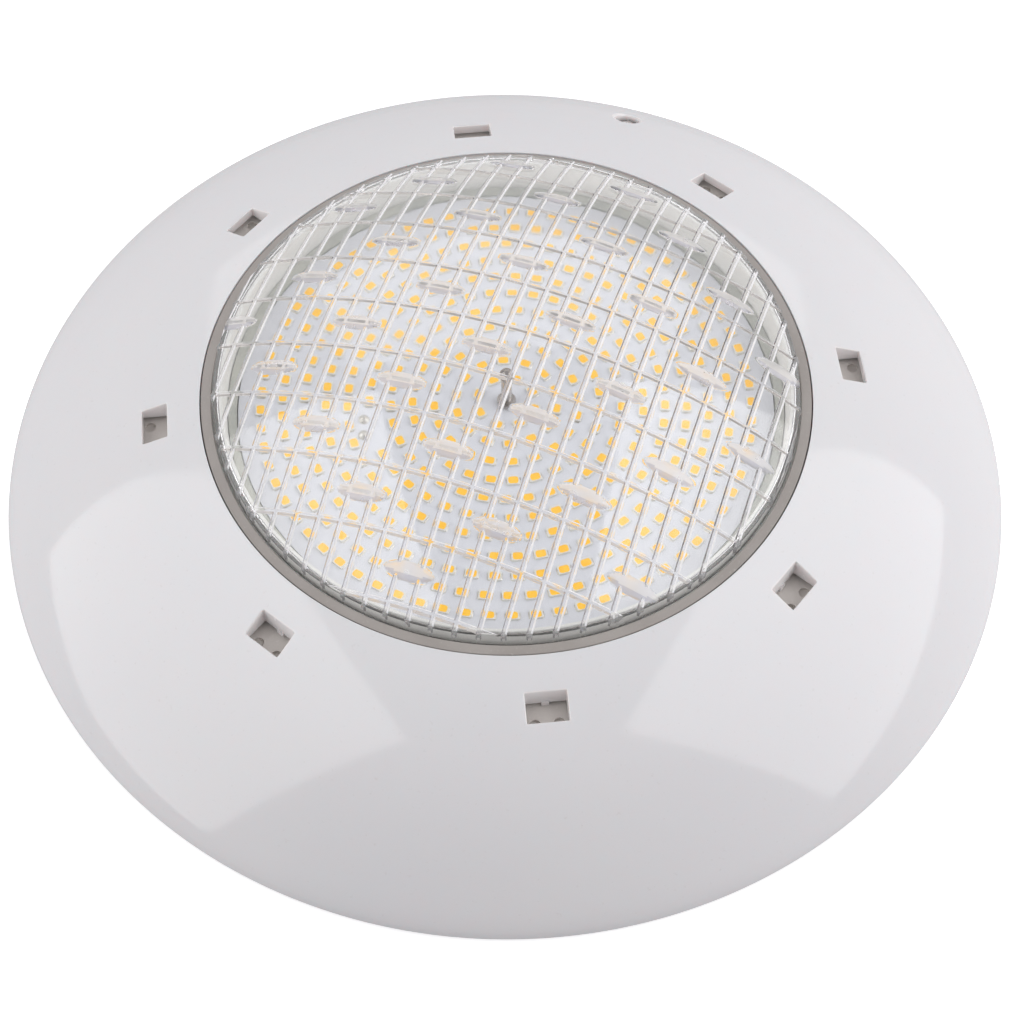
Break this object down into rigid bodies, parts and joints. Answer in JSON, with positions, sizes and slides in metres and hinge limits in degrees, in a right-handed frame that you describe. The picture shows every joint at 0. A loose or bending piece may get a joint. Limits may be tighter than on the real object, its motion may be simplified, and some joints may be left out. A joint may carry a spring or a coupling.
{
  "type": "underwater pool light",
  "caption": "Round wall-mounted underwater pool light: dished white face ring with water windows, ribbed clear lens over an LED board, and a wall bracket with a lock screw.",
  "frame": {"origin": "middle of the wall face of the bracket, at the bottom of the light lying on its back", "axes": "+Z is the beam direction, out of the wall; +Y points to the lock screw, which is the top of the light on a wall; +X is to the right of someone facing the light"},
  "size_m": [0.29, 0.29, 0.072],
  "materials": {
    "white_abs": "glossy moulded ABS, faint moulding waviness",
    "clear_lens": "clear moulded polycarbonate",
    "grey_ring": "satin grey plastic",
    "seal_rubber": "matt silicone rubber",
    "light_silicone": "pale silicone rubber",
    "grey_abs": "satin moulded ABS",
    "light_abs": "satin moulded ABS",
    "resin": "cast potting resin",
    "white_board": "white solder mask",
    "green_board": "green solder mask",
    "stainless": "turned stainless steel",
    "black_plastic": "moulded epoxy",
    "capacitor_sleeve": "shrunk sleeve",
    "ferrite": "enamelled copper winding on a ferrite ring",
    "tinned_copper": "tinned copper",
    "nylon": "moulded nylon"
  },
  "bodies": {
    "wall_bracket": {"wall_bracket": "white_abs"},
    "light_unit": {"bezel": "white_abs", "lens": "clear_lens", "lens_ring": "grey_ring", "lens_gasket": "light_silicone", "gland_seal": "seal_rubber", "lamp_housing": "light_abs", "lamp_clamp_ring": "grey_abs", "potting_ring": "resin", "led_board": "white_board", "centre_stud": "stainless", "driver_board": "green_board", "driver_screw_1": "stainless", "driver_screw_2": "stainless", "capacitor_1": "capacitor_sleeve", "capacitor_2": "capacitor_sleeve", "inductor": "ferrite", "bridge_rectifier": "black_plastic", "driver_chip": "black_plastic", "lead_pin_1": "tinned_copper", "lead_pin_2": "tinned_copper", "clamp_screw_1": "stainless", "clamp_screw_2": "stainless", "clamp_screw_3": "stainless", "clamp_screw_4": "stainless", "gland_body": "nylon", "gland_nut": "nylon", "gland_locknut": "nylon"},
    "lock_washer": {"lock_washer": "nylon"},
    "lock_screw": {"lock_screw": "stainless"}
  },
  "joints": [
    {"name": "light_tilt", "type": "hinge", "parent": "wall_bracket", "child": "light_unit", "pos_m": [0, -0.1442, 0.001], "axis": [1, 0, 0], "range_deg": [0, 12]},
    {"name": "lock_screw_travel", "type": "slide", "parent": "light_unit", "child": "lock_washer", "axis": [0, 0, 1], "range_m": [0, 0.009]},
    {"name": "lock_screw_turn", "type": "hinge", "parent": "lock_washer", "child": "lock_screw", "pos_m": [0, 0.1195, 0.0221], "axis": [0, 0, 1], "range_deg": [0, 1081]}
  ],
  "couplings": [
    {"joint": "lock_screw_turn", "follows": "lock_screw_travel", "rad_per_m": 2094.4}
  ]
}
